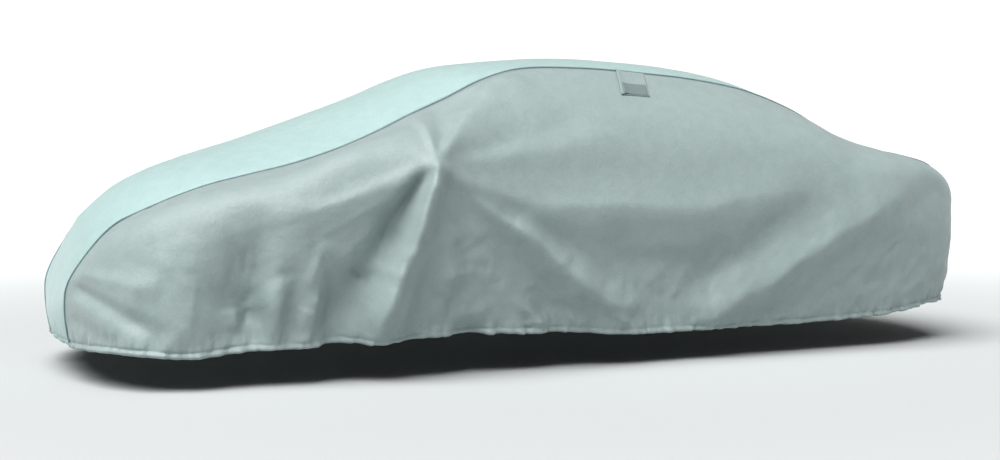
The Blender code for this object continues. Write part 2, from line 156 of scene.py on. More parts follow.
# The folds, one in a row: x z where it starts and ends, its width there, rise (a trough under 0),
# lean of its flanks, crispness, and the share of its length over which it fades in
foldsSeen = (
    # the fan below the peak
    (-0.540, 0.885, -0.845, 0.090, 0.034, 0.140, 0.102, -0.38, 0.9, 0.08),
    (-0.566, 0.892, -1.010, 0.190, 0.034, 0.118, -0.058, 0.00, 0.2, 0.05),
    (-0.480, 0.870, -0.180, 0.180, 0.040, 0.100, -0.022, 0.00, 0.2, 0.06),
    (-0.450, 0.850, 0.260, 0.180, 0.060, 0.150, -0.052, 0.00, 0.3, 0.20),
    (-0.480, 0.900, 0.800, -0.020, 0.050, 0.130, 0.082, 0.25, 0.9, 0.28),
    (-0.475, 0.870, 0.240, 0.530, 0.028, 0.075, -0.022, 0.00, 0.3, 0.05),
    (-0.560, 0.600, -0.590, 0.120, 0.030, 0.050, -0.018, 0.00, 0.3, 0.40),
    (-0.470, 0.560, -0.440, 0.120, 0.030, 0.055, 0.016, 0.00, 0.6, 0.40),
    (-0.330, 0.460, -0.200, 0.120, 0.030, 0.050, 0.014, 0.00, 0.6, 0.40),
    # above the peak, up to the seam
    (-0.505, 0.950, 0.040, 1.400, 0.020, 0.090, 0.028, 0.45, 0.4, 0.12),
    (-0.525, 0.950, -0.490, 1.200, 0.020, 0.055, 0.014, 0.40, 0.4, 0.12),
    (-0.500, 0.980, -0.330, 1.260, 0.018, 0.042, -0.006, 0.00, 0.2, 0.30),
    (-0.470, 0.950, 0.320, 1.150, 0.025, 0.080, -0.010, 0.00, 0.2, 0.30),
    (-0.470, 0.940, 0.500, 1.060, 0.025, 0.080, 0.007, 0.00, 0.4, 0.30),
    (-0.545, 0.925, -1.150, 0.700, 0.014, 0.090, 0.010, -0.35, 0.6, 0.05),
    # long folds from the hem up to the tail
    (0.760, 0.110, 2.150, 0.830, 0.085, 0.150, 0.058, -0.15, 0.9, 0.15),
    (0.680, 0.260, 1.600, 0.740, 0.090, 0.130, -0.030, 0.00, 0.1, 0.30),
    (1.250, 0.160, 2.350, 0.480, 0.070, 0.140, -0.012, 0.00, 0.2, 0.40),
    (2.050, 0.660, 2.420, 0.830, 0.050, 0.080, -0.014, 0.00, 0.2, 0.40),
    (0.180, 0.500, 1.020, 0.480, 0.110, 0.130, -0.026, 0.00, 0.2, 0.30),
    (0.380, 0.560, 0.900, 0.560, 0.040, 0.060, 0.010, 0.00, 0.5, 0.40),
    # the nose corner and the hanging folds behind it
    (-1.985, 0.440, -1.680, 0.200, 0.022, 0.065, -0.022, 0.20, 0.5, 0.20),
    (-1.985, 0.390, -1.740, 0.190, 0.022, 0.050, 0.009, 0.00, 0.7, 0.20),
    (-1.960, 0.480, -1.700, 0.420, 0.020, 0.050, 0.010, 0.00, 0.6, 0.20),
    (-1.985, 0.300, -1.860, 0.190, 0.020, 0.040, -0.010, 0.00, 0.3, 0.30),
    (-1.720, 0.580, -1.760, 0.260, 0.060, 0.080, -0.012, 0.00, 0.2, 0.40),
    (-1.610, 0.600, -1.650, 0.150, 0.090, 0.110, 0.010, 0.00, 0.4, 0.70),
    (-1.270, 0.780, -1.330, 0.150, 0.105, 0.120, -0.086, 0.40, 0.2, 0.55),
    (-1.215, 0.560, -1.265, 0.150, 0.045, 0.060, 0.020, -0.25, 0.8, 0.45),
    (-1.130, 0.540, -1.160, 0.150, 0.050, 0.060, -0.026, 0.20, 0.3, 0.45),
    (-1.025, 0.480, -1.065, 0.150, 0.045, 0.060, 0.024, -0.25, 0.8, 0.45),
    (-0.960, 0.560, -0.990, 0.180, 0.040, 0.050, -0.016, 0.00, 0.3, 0.40),
)
foldsHidden = (
    (-0.500, 0.920, -0.700, 0.110, 0.045, 0.125, 0.058, -0.25, 0.8, 0.12),
    (-0.600, 0.850, -0.870, 0.190, 0.050, 0.110, -0.036, 0.00, 0.3, 0.20),
    (-0.440, 0.840, 0.140, 0.180, 0.065, 0.140, -0.040, 0.00, 0.3, 0.20),
    (-0.430, 0.880, 0.480, 0.110, 0.060, 0.120, 0.056, 0.20, 0.8, 0.15),
    (-0.490, 0.960, -0.210, 1.290, 0.022, 0.055, 0.018, 0.00, 0.6, 0.12),
    (-0.520, 0.960, -0.560, 1.160, 0.020, 0.045, 0.014, 0.00, 0.5, 0.12),
    (0.940, 0.130, 2.260, 0.830, 0.090, 0.150, 0.056, -0.20, 0.8, 0.15),
    (0.760, 0.260, 1.560, 0.700, 0.080, 0.120, -0.027, 0.00, 0.2, 0.30),
    (-1.960, 0.430, -1.690, 0.200, 0.030, 0.070, -0.020, 0.00, 0.5, 0.20),
    (-1.640, 0.560, -1.620, 0.160, 0.070, 0.090, 0.014, 0.00, 0.4, 0.40),
    (-1.400, 0.640, -1.360, 0.160, 0.100, 0.120, -0.042, 0.20, 0.2, 0.50),
    (-1.170, 0.520, -1.110, 0.160, 0.050, 0.065, 0.022, 0.00, 0.7, 0.45),
    (-1.000, 0.500, -0.960, 0.180, 0.045, 0.055, -0.014, 0.00, 0.3, 0.40),
)
# The long edge along the waist, sharp beside the peak: x, height, half width, rise
waistEdge = (
    (-2.10, 0.50, 0.080, 0.000), (-1.70, 0.57, 0.080, 0.002), (-1.45, 0.64, 0.075, 0.014),
    (-1.11, 0.74, 0.065, 0.024), (-0.85, 0.80, 0.050, 0.024), (-0.63, 0.865, 0.028, 0.020),
    (-0.52, 0.92, 0.018, 0.020), (-0.44, 0.865, 0.026, 0.020), (-0.10, 0.775, 0.050, 0.030),
    (0.32, 0.735, 0.060, 0.044), (0.76, 0.715, 0.065, 0.046), (1.22, 0.760, 0.070, 0.036),
    (1.60, 0.835, 0.070, 0.016), (2.00, 0.90, 0.070, 0.006), (2.60, 0.95, 0.070, 0.000),
)

sidePanel = {
    "peakX": -0.52, "peakZ": 0.915,  # where the cloth is held out at the side
    "peakPush": 0.085, "peakReach": 0.34, "peakUp": 0.26, "peakDown": 0.50, "peakFall": 2.2,
    "peakStart": 0.16,  # share of the way down from the seam over which the peak sets in
    "along": 0.0090,  # spacing of the mesh rows
    "thick": 0.0020,
    "foldStart": 0.05, "endStart": 0.03,  # shares over which the folds set in from the edges
    "tautDown": 0.10, "tautAlong": 0.015,  # the same for the small creases
    "hemFrom": 0.85, "hemOver": 0.15, "hemHold": 0.35,  # share that the elastic takes off them
    "seamPucker": 0.0016, "seamPitch": 0.045, "seamReach": 0.06, "seamClear": 0.012,
    "edgeGap": 0.0030,  # cloth edge to the seam line, under the cord
}
elasticHem = {  # elastic in a sewn casing: gathers that die out upwards, and a stitch line
    "gather": 0.0075, "pitch": 0.030, "reach": 0.13, "fade": 0.09,
    "fineShare": 0.6, "fineFade": 0.05,  # gathers half as wide between the others
    "tuft": 0.006, "tuftPitch": 0.11, "tuftReach": 0.16, "tuftFade": 0.3,
    "stitchAt": 0.026, "stitchWidth": 0.007, "stitchPitch": 0.07,
    "stitchDepth": 0.0035, "stitchUneven": 0.0025, "topStitchDepth": 0.005,
    "casing": 0.006, "casingAt": 0.010, "casingWidth": 0.009,
    "turnIn": 0.010, "turnWidth": 0.007, "topTurnWidth": 0.018,
}
topPanel = {
    "across": 46, "thick": 0.0020,
    "ripple": 0.0035, "rippleAlong": 0.34, "rippleAcross": 0.50,
    "crinkle": 0.0012, "crinkleAlong": 0.26, "crinkleAcross": 0.16,
    "seamStart": 0.15,  # share of the half width over which they set in from the seams
}
foldForm = {
    "wander": 0.16, "wanderPitch": 0.16, "uneven": 0.18, "unevenPitch": 0.13,  # pitches in metres
    "crestRound": 0.012, "crestDrop": 0.11, "flankReach": 1.6,  # shares of a fold's width
    "flankHollow": 1.35,  # 1 would leave the flanks of a crisp fold flat
    "lead": 0.06, "past": 1.12, "fadeOut": 0.24,  # shares of a fold's length
}
edgeForm = {  # shares of the edge's half width
    "crestRound": 0.03, "crestDrop": 0.17, "aboveReach": 3.2,  # wide above the waist
    "steepShare": 0.75, "steep": 0.24, "restReach": 3.5,  # steep below it
    "wander": 0.5, "wanderPitch": 0.22, "sharpWidth": 0.02,  # the sharp part runs straight
}


def foldPush(x, z, table, f=foldForm):
    push = np.zeros_like(x)
    for x0, z0, x1, z1, w0, w1, rise, lean, crisp, fadeIn in table:
        runX, runZ = x1 - x0, z1 - z0
        length = math.hypot(runX, runZ)
        t = ((x - x0) * runX + (z - z0) * runZ) / length**2
        width = w0 + (w1 - w0) * np.clip(t, 0, 1)
        # each fold's own place picks its part of the random field
        wander = cloudy(t * length / f["wanderPitch"] + x0 * 31, z0 * 17 + 0 * t, 7) * f["wander"]
        aside = ((x - x0) * runZ - (z - z0) * runX) / length / width + wander
        aside = aside / np.where(aside > 0, 1 + lean, 1 - lean)
        bell = np.exp(-(aside**2))
        rounded = np.sqrt(aside**2 + f["crestRound"]) - f["crestDrop"]
        tent = np.maximum(0, 1 - rounded / f["flankReach"]) ** f["flankHollow"]
        ends = ease((t + f["lead"]) / (f["lead"] + fadeIn)) * ease((f["past"] - t) / f["fadeOut"])
        drift = cloudy(t * length / f["unevenPitch"] + z0 * 29, x0 * 13 + 0 * t, 8)
        uneven = 1 + f["uneven"] * drift
        push += rise * ends * uneven * (bell * (1 - crisp) + tent * crisp)
    return push


def edgePush(x, z, wander, e=edgeForm):  # the cloth breaks over the waist
    line = np.array(waistEdge)
    height, width, rise = (np.interp(x, line[:, 0], line[:, k]) for k in (1, 2, 3))
    height = height + wander * np.clip(width - e["sharpWidth"], 0, 1) * e["wander"]
    over = (z - height) / width
    rounded = np.sqrt(over**2 + e["crestRound"]) - e["crestDrop"]
    above = np.maximum(0, 1 - rounded / e["aboveReach"]) ** 2
    steep = e["steepShare"] * np.exp(-e["steep"] * rounded**2)
    below = steep + (1 - e["steepShare"]) * np.exp(-rounded / e["restReach"])
    return rise * np.where(over > 0, above, below)


def peakPush(x, z, p):
    reach = np.where(z > p["peakZ"], p["peakUp"], p["peakDown"])
    away = np.hypot((x - p["peakX"]) / p["peakReach"], (z - p["peakZ"]) / reach)
    return p["peakPush"] * np.exp(-p["peakFall"] * away)


stray = {  # short creases with no place of their own in the tables
    "count": 170, "fromX": -1.90, "toX": 2.50,
    "fromZ": 0.14, "spanZ": 0.62, "lowBias": (1.1, 1.7),  # more of them low down
    "hangTo": -0.95, "hangSlant": (84, 16),  # degrees and their spread: hanging at the front
    "fanTo": 0.75, "fanZ": 0.95, "fanSpread": 14,  # half of these run out of the peak
    "levelSlant": (-8, 20),  # the other half lie nearly level
    "rearSlant": (36, 14),  # along the long folds at the rear
    "length": (0.08, 0.28), "width": (0.016, 0.038), "widening": (0.9, 1.8),
    "steep": (0.34, 0.66), "lean": (-0.5, 0.5), "crisp": 0.8, "fadeIn": 0.5,
    "looseFrom": -1.40, "looseTo": 0.35, "tightShare": 0.4,  # the cloth is tighter past these
}


def strayCreases(seed, s=stray):  # in the rows of a fold table
    rng = np.random.default_rng(seed)
    rows = []
    for _ in range(s["count"]):
        x = rng.uniform(s["fromX"], s["toX"])
        z = s["fromZ"] + s["spanZ"] * rng.beta(*s["lowBias"])
        if x < s["hangTo"]:
            slant = rng.normal(*s["hangSlant"])
        elif x < s["fanTo"]:
            fan = math.degrees(math.atan2(z - s["fanZ"], x - sidePanel["peakX"]))
            out = rng.random() < 0.5
            slant = rng.normal(fan, s["fanSpread"]) if out else rng.normal(*s["levelSlant"])
        else:
            slant = rng.normal(*s["rearSlant"])
        length, width = rng.uniform(*s["length"]), rng.uniform(*s["width"])
        loose = s["looseFrom"] < x < s["looseTo"]
        rise = rng.choice((-1, 1)) * rng.uniform(*s["steep"]) * width
        rise = rise * (1.0 if loose else s["tightShare"])
        endX = x + length * math.cos(math.radians(slant))
        endZ = z + length * math.sin(math.radians(slant))
        widthEnd, lean = width * rng.uniform(*s["widening"]), rng.uniform(*s["lean"])
        rows.append((x, z, endX, endZ, width, widthEnd, rise, lean, s["crisp"], s["fadeIn"]))
    return rows


smallCreases = {  # pleats that run out from the peak, slow crinkles and slow unevenness
    "fan": 0.0050, "fanPleats": 5.5, "fanPitch": 0.55, "fanFrom": 0.10, "fanReach": 0.75,
    "fanBelow": 0.12,
    "looseTop": 0.86, "looseOver": 0.40,  # tight above the waist and loose below it
    "rearFrom": 0.10, "rearOver": 0.60, "frontSlant": 75, "rearSlant": -38,  # degrees
    "crinkle": 0.0035, "crinkleAcross": 0.11, "crinkleAlong": 0.34,
    "ripple": 0.0048, "rippleAcross": 0.20, "rippleAlong": 0.46, "tightShare": 0.2,
    "crestMean": 0.4,  # mean of the creased field, so that the cloth stays where it is
}


def smallFolds(x, z, seed, p=sidePanel, q=smallCreases):  # the creases that no table names
    away = np.hypot(x - p["peakX"], z - p["peakZ"])
    turn = np.arctan2(z - p["peakZ"], x - p["peakX"])
    below = ease((p["peakZ"] - z) / q["fanBelow"])
    # numbers added within a field only pick the part of it that is used
    fan = creased(turn * q["fanPleats"] + 40, away / q["fanPitch"] + 3, seed) - q["crestMean"]
    fade = np.exp(-((away / q["fanReach"]) ** 2))
    push = q["fan"] * fan * ease(away / q["fanFrom"]) * fade * below
    low = ease((q["looseTop"] - z) / q["looseOver"])
    push += foldPush(x, z, strayCreases(seed + 3)) * low
    rear = ease((x - q["rearFrom"]) / q["rearOver"])
    for slant, weight in ((q["frontSlant"], 1 - rear), (q["rearSlant"], rear)):
        lean = math.radians(slant)
        u = x * math.sin(lean) + z * math.cos(lean)
        v = x * math.cos(lean) - z * math.sin(lean)
        crest = creased(u / q["crinkleAcross"] + 90, v / q["crinkleAlong"] + 30, seed + 3)
        push += q["crinkle"] * (crest - q["crestMean"]) * weight * low
        wave = cloudy(u / q["rippleAcross"] + 11, v / q["rippleAlong"] + 17, seed + 5)
        push += q["ripple"] * wave * weight * (q["tightShare"] + (1 - q["tightShare"]) * low)
    return push


def hemPush(run, toHem, seed, h=elasticHem):
    flat = 0 * toHem
    pleat = cloudy(run / h["pitch"] + flat, toHem / h["fade"], seed + 6)
    fine = cloudy(run / (h["pitch"] * 0.5) + flat, toHem / h["fineFade"], seed + 7)
    pleat += h["fineShare"] * fine
    push = h["gather"] * pleat * ease(1 - toHem / h["reach"])
    tuft = cloudy(run / h["tuftPitch"] + flat, toHem / h["tuftFade"], seed + 8)
    push += h["tuft"] * tuft * ease(1 - toHem / h["tuftReach"])
    uneven = cloudy(run / h["stitchPitch"] + flat, flat + 8, seed + 13)
    stitch = h["stitchDepth"] + h["stitchUneven"] * uneven
    push -= stitch * np.exp(-(((toHem - h["stitchAt"]) / h["stitchWidth"]) ** 2))
    push += h["casing"] * np.exp(-(((toHem - h["casingAt"]) / h["casingWidth"]) ** 2))
    push -= h["turnIn"] * ease(1 - toHem / h["turnWidth"])
    return push


def sideSurface(along, down, table, seed, p=sidePanel):
    here = plainSide(along, down)
    out = sideNormal(along, down)
    x, z = here[..., 0], here[..., 2]
    ends = ease(along / p["endStart"]) * ease((1 - along) / p["endStart"])
    loose = 1 - p["hemHold"] * ease((down - p["hemFrom"]) / p["hemOver"])
    push = peakPush(x, z, p) * ease(down / p["peakStart"]) * ends * loose
    push += foldPush(x, z, table) * ease(down / p["foldStart"]) * ends * loose
    wander = cloudy(x / edgeForm["wanderPitch"] + 4, 0 * x + 6, seed + 12)
    push += edgePush(x, z, wander) * ends
    taut = ease(down / p["tautDown"])
    taut = taut * ease(along / p["tautAlong"]) * ease((1 - along) / p["tautAlong"])
    push += smallFolds(x, z, seed) * taut
    rib = smoothRows(ribs, along)
    toHem = np.linalg.norm(here - rib[..., 6:9], axis=-1)
    steps = np.linalg.norm(np.diff(rib[:, 0, 6:9], axis=0), axis=1)
    push += hemPush(np.cumsum(np.r_[0, steps])[:, None], toHem, seed)
    # small puckers where the seam is sewn
    rows = np.arange(len(here))[:, None] * p["along"]
    pucker = cloudy(rows / p["seamPitch"] + 0 * toHem, 0 * toHem + 3, seed + 9)
    toSeam = np.linalg.norm(here - rib[..., 0:3], axis=-1)
    near = ease(1 - toSeam / p["seamReach"]) * ease(toSeam / p["seamClear"])
    push += p["seamPucker"] * pucker * near
    return here + out * push[..., None]


def evenAlong(spacing):  # along values an even distance apart at the waist
    fine = np.linspace(0, 1, 2001)
    waist = smoothRows(ribs, fine)[:, 3:6]
    length = np.r_[0, np.cumsum(np.linalg.norm(np.diff(waist, axis=0), axis=1))]
    return np.interp(np.linspace(0, length[-1], int(length[-1] / spacing) + 1), length, fine)


def seamLine(along, downs):  # nose hem up, along the top and down to the tail hem
    nose = plainSide(np.zeros(len(downs) - 1), downs[:0:-1])
    tail = plainSide(np.ones(len(downs) - 1), downs[1:])
    return np.concatenate([nose, plainSide(along, np.zeros(len(along))), tail])


def moveIn(edge, inner, gap):  # an edge drawn back from the seam line towards its neighbours
    ahead = np.gradient(edge, axis=0)
    inwards = inner - edge
    inwards -= ahead * ((inwards * ahead).sum(-1) / (ahead * ahead).sum(-1))[:, None]
    return edge + unit(inwards) * gap


def addPiece(name, points, faces):
    mesh = bpy.data.meshes.new(name)
    corners = (points - (crown["x"], 0, crown["z"])).reshape(-1, 3)
    mesh.from_pydata(corners.tolist(), [], faces)
    mesh.shade_smooth()
    piece = bpy.data.objects.new(name, mesh)
    bpy.context.collection.objects.link(piece)
    return piece


def gridMesh(name, points, thick, flip=False):
    rows, columns = points.shape[:2]
    index = np.arange(rows * columns).reshape(rows, columns)
    quads = np.stack([index[:-1, :-1], index[1:, :-1], index[1:, 1:], index[:-1, 1:]], -1)
    quads = quads.reshape(-1, 4)
    piece = addPiece(name, points, (quads[:, ::-1] if flip else quads).tolist())
    shell = piece.modifiers.new("clothThickness", "SOLIDIFY")
    shell.thickness = thick
    shell.offset = 1
    return piece


def mirrored(points):
    return points * (1, -1, 1)


along = evenAlong(sidePanel["along"])
# rows down the side: share of the way down and number of steps up to it, closest at the hem
downSteps = ((0.0, 0.36, 20), (0.36, 0.953, 48), (0.953, 1.0, 14))
downs = np.r_[0, np.concatenate([np.linspace(a, b, n + 1)[1:] for a, b, n in downSteps])]
alongGrid, downGrid = np.meshgrid(along, downs, indexing="ij")
seam = seamLine(along, downs)
print("side rows", len(along), "columns", len(downs))


def sideGrid(table, seed):
    grid = sideSurface(alongGrid, downGrid, table, seed)
    low = len(downs) - 1
    noseSlice, tailSlice = grid[0, :0:-1].copy(), grid[-1, 1:].copy()
    edge = np.concatenate([noseSlice, grid[:, 0], tailSlice])
    inner = np.concatenate([grid[1, :0:-1], grid[:, 1], grid[-2, 1:]])
    inner[low], inner[-low - 1] = grid[1, 1], grid[-2, 1]
    moved = moveIn(edge, inner, sidePanel["edgeGap"])
    grid[0, :0:-1], grid[:, 0], grid[-1, 1:] = moved[:low], moved[low:-low], moved[-low:]
    return grid


sideLeft = mirrored(sideGrid(foldsSeen, 11))
sideRight = sideGrid(foldsHidden, 41)
print("side panels shaped")


def topGrid(p=topPanel, h=elasticHem):
    share = np.linspace(-1, 1, p["across"] + 1)
    centreTop = smoothRows(ribs, along)[:, 9:11]
    centre = np.concatenate([
        smoothRows(noseCentre, downs[:0:-1]), centreTop, smoothRows(tailCentre, downs[1:])
    ])
    centre = np.stack([centre[:, 0], 0 * centre[:, 0], centre[:, 1]], -1)
    lift = 1 - np.abs(share) ** crownPower
    grid = seam[:, None] + (centre - seam)[:, None] * lift[None, :, None]
    grid[..., 1] = seam[:, None, 1] * share[None, :]
    ahead = np.gradient(grid, axis=0)
    across = np.gradient(grid, axis=1)
    out = unit(np.cross(ahead, across))
    x, y = grid[..., 0], grid[..., 1]
    steps = np.linalg.norm(np.diff(centre, axis=0), axis=1)
    run = np.r_[0, np.cumsum(steps)][:, None] + 0 * x
    held = ease((1 - np.abs(share)) / p["seamStart"])[None, :]
    push = p["ripple"] * cloudy(run / p["rippleAlong"] + 3, y / p["rippleAcross"] + 8, 71)
    crest = creased(run / p["crinkleAlong"] + 5, y / p["crinkleAcross"] + 9, 72)
    push += p["crinkle"] * (crest - smallCreases["crestMean"])
    toHem = np.minimum(run, run[-1, 0] - run)
    pleat = cloudy(y / h["pitch"] + 50, toHem / h["fade"], 73)
    pleat += h["fineShare"] * cloudy(y / h["pitch"] * 2 + 50, toHem / h["fineFade"], 74)
    push += h["gather"] * pleat * ease(1 - toHem / h["reach"])
    stitch = np.exp(-(((toHem - h["stitchAt"]) / h["stitchWidth"]) ** 2))
    push -= h["topStitchDepth"] * stitch
    push -= h["turnIn"] * ease(1 - toHem / h["topTurnWidth"])
    grid = grid + out * (push * held)[..., None]
    grid[:, -1] = moveIn(grid[:, -1], grid[:, -2], sidePanel["edgeGap"])
    grid[:, 0] = moveIn(grid[:, 0], grid[:, 1], sidePanel["edgeGap"])
    return grid


top = topGrid()
topPiece = gridMesh("topCloth", top, topPanel["thick"])
leftPiece = gridMesh("sideClothLeft", sideLeft, sidePanel["thick"], flip=True)
rightPiece = gridMesh("sideClothRight", sideRight, sidePanel["thick"])
print("cloth meshes made")


piping = {  # a cord in its sewn-over strip, standing in each long seam
    "radius": 0.0050, "sides": 10, "lift": 0.0020,
}


def tube(name, path, radius, sides):
    ahead = unit(np.gradient(path, axis=0))
    aslant = np.tile((0.2, 1.0, 0.3), (len(path), 1))  # no part of a seam runs this way
    sideways = unit(np.cross(ahead, aslant))
    upwards = np.cross(sideways, ahead)
    turn = np.linspace(0, 2 * math.pi, sides, endpoint=False)
    rings = (
        path[:, None]
        + sideways[:, None] * (np.cos(turn) * radius)[None, :, None]
        + upwards[:, None] * (np.sin(turn) * radius)[None, :, None]
    )
    index = np.arange(len(path) * sides).reshape(len(path), sides)
    beside = np.roll(index, -1, axis=1)
    quads = np.stack([index[:-1], beside[:-1], beside[1:], index[1:]], -1)
    ends = [index[0].tolist(), index[-1, ::-1].tolist()]
    return addPiece(name, rings, quads.reshape(-1, 4).tolist() + ends)


def seamOut():  # outward direction along the right seam
    topOut = unit(np.cross(np.gradient(top[:, -1], axis=0), top[:, -1] - top[:, -3]))
    out = sideNormal(alongGrid, downGrid)
    sideOut = np.concatenate([out[0, :0:-1], out[:, 0], out[-1, 1:]])
    return unit(topOut + sideOut)


seamNormal = seamOut()
cordPath = seam + seamNormal * piping["lift"]
cordRight = tube("pipingCordRight", cordPath, piping["radius"], piping["sides"])
cordLeft = tube("pipingCordLeft", mirrored(cordPath), piping["radius"], piping["sides"])
print("piping made")


label = {
    "fromX": 0.640, "toX": 0.800, "inset": 0.012,
    "flapDown": 0.130, "labelFrom": 0.070,  # shares of the rib that they hang down
    "labelTo": 0.97,  # share of the flap's drop at which the label ends
    "plumb": 0.17,  # share of its width by which its foot hangs nearer the nose than the rib does
    "flapThick": 0.0012, "labelThick": 0.0008, "freeEdge": 0.006, "freeShare": 0.25,
    "flapLift": 0.0042, "labelLift": 0.0062,  # clear of the cloth below
    "overCord": (0, 0.006, 0.0035),  # the flap's head lies over the piping
    "wave": 0.0008, "waves": 260,
    "flapSteps": 22, "labelRows": 14, "labelColumns": 20,
}


def alongAt(seamX):
    fine = np.linspace(0, 1, 4001)
    return np.interp(seamX, smoothRows(ribs, fine)[:, 0], fine)


def flapGrid(fromX, toX, startDown, endDown, lift, rows, columns, p=label):
    a = np.linspace(alongAt(fromX), alongAt(toX), columns)
    d = np.linspace(startDown, endDown, rows)
    aa, dd = np.meshgrid(a, d, indexing="ij")
    hung = aa - p["plumb"] * (a[-1] - a[0]) * dd / p["flapDown"]
    here = plainSide(hung, dd)
    out = sideNormal(hung, dd)
    rise = lift + p["wave"] * np.sin(aa / a.max() * p["waves"]) * dd / endDown
    fromEdge = (aa - a.min()) / (a.max() - a.min())
    rise = rise + p["freeEdge"] * ease(1 - fromEdge / p["freeShare"])
    return mirrored(here + out * rise[..., None])


flap = flapGrid(
    label["fromX"], label["toX"], 0.0, label["flapDown"],
    label["flapLift"], label["flapSteps"], label["flapSteps"],
)
flap[:, 0] = flap[:, 0] + label["overCord"]
flapPiece = gridMesh("labelFlap", flap, label["flapThick"], flip=True)
patch = flapGrid(
    label["fromX"] + label["inset"], label["toX"] - label["inset"],
    label["labelFrom"], label["flapDown"] * label["labelTo"],
    label["labelLift"], label["labelRows"], label["labelColumns"],
)
labelPiece = gridMesh("labelPatch", patch, label["labelThick"], flip=True)
print("label and flap made")


def linear(hexColour):  # sRGB hex to the linear values that the nodes take
    parts = [int(hexColour[k:k + 2], 16) / 255 for k in (0, 2, 4)]
    return [c / 12.92 if c <= 0.04045 else ((c + 0.055) / 1.055) ** 2.4 for c in parts] + [1.0]


def addNode(tree, kind, settings=(), links=()):
    node = tree.nodes.new(kind)
    for key, value in dict(settings).items():
        if isinstance(key, str) and hasattr(node, key):
            setattr(node, key, value)
        else:
            node.inputs[key].default_value = value
    for socket, source in dict(links).items():
        tree.links.new(source, node.inputs[socket])
    return node


clothFinish = {
    "mint": "A6BEBC", "mintShade": "9BB3B1",
    "grey": "98A6A5", "greyShade": "8C9B9A",
    "fibreMm": 9.0,  # fibres are 0.03 mm: drawn as coarse as the render can show
    "cloudMm": 65.0, "cloudAmount": 2.4,  # uneven lay of the fibres, as seen against light
    "bondMm": 4.0, "bondDeep": 0.0006,  # heat-bonded dots, 1 mm apart: drawn coarser to show
    "crinkleMm": 38.0, "crinkleDeep": 0.004,
    "roughness": 0.52, "smoother": 0.05, "rougher": 0.08,
    "sheen": 0.25, "sheenRoughness": 0.4, "ior": 1.49,
}
mixA, mixB = 6, 7  # the mix node's two colour sockets


def nonwoven(name, colour, shade, p=clothFinish):
    # Coated spunbond polypropylene, heat-bonded in fine dots: a soft satin skin, cloudy close to.
    made = bpy.data.materials.new(name)
    made.use_nodes = True
    tree = made.node_tree
    shader = tree.nodes["Principled BSDF"]
    at = {"Vector": addNode(tree, "ShaderNodeTexCoord").outputs["Object"]}
    cloud = addNode(
        tree, "ShaderNodeTexNoise", {"Scale": 1000 / p["cloudMm"], "Detail": 3.0}, at
    )
    fibre = addNode(
        tree, "ShaderNodeTexNoise",
        {"Scale": 1000 / p["fibreMm"], "Detail": 4.0, "Roughness": 0.6}, at,
    )
    patchy = addNode(
        tree, "ShaderNodeMath", {"operation": "MULTIPLY"},
        {0: cloud.outputs[0], 1: fibre.outputs[0]},
    )
    shaded = addNode(
        tree, "ShaderNodeMath", {"operation": "MULTIPLY", 1: p["cloudAmount"]},
        {0: patchy.outputs[0]},
    )
    mix = addNode(
        tree, "ShaderNodeMix", {"data_type": "RGBA"}, {0: shaded.outputs[0]}
    )
    mix.inputs[mixA].default_value = linear(p[colour])
    mix.inputs[mixB].default_value = linear(p[shade])
    tree.links.new(mix.outputs[2], shader.inputs["Base Color"])
    bond = addNode(tree, "ShaderNodeTexVoronoi", {"Scale": 1000 / p["bondMm"]}, at)
    crinkle = addNode(
        tree, "ShaderNodeTexNoise",
        {"Scale": 1000 / p["crinkleMm"], "Detail": 2.0, "Distortion": 0.8}, at,
    )
    fine = addNode(
        tree, "ShaderNodeBump", {"Strength": 0.12, "Distance": p["bondDeep"]},
        {"Height": bond.outputs["Distance"]},
    )
    wide = addNode(
        tree, "ShaderNodeBump", {"Strength": 0.5, "Distance": p["crinkleDeep"]},
        {"Height": crinkle.outputs[0], "Normal": fine.outputs[0]},
    )
    tree.links.new(wide.outputs[0], shader.inputs["Normal"])
    rough = addNode(
        tree, "ShaderNodeMapRange",
        {"To Min": p["roughness"] - p["smoother"], "To Max": p["roughness"] + p["rougher"]},
        {"Value": fibre.outputs[0]},
    )
    tree.links.new(rough.outputs[0], shader.inputs["Roughness"])
    shader.inputs["Metallic"].default_value = 0.0
    shader.inputs["IOR"].default_value = p["ior"]
    shader.inputs["Sheen Weight"].default_value = p["sheen"]
    shader.inputs["Sheen Roughness"].default_value = p["sheenRoughness"]
    return made


pipingFinish = {"colour": "7B9092", "shade": "688083", "bandMm": 12.566, "roughness": 0.62}
labelFinish = {"colour": "7B8A8B", "shade": "6B7A7B", "bandMm": 10.053, "roughness": 0.55}


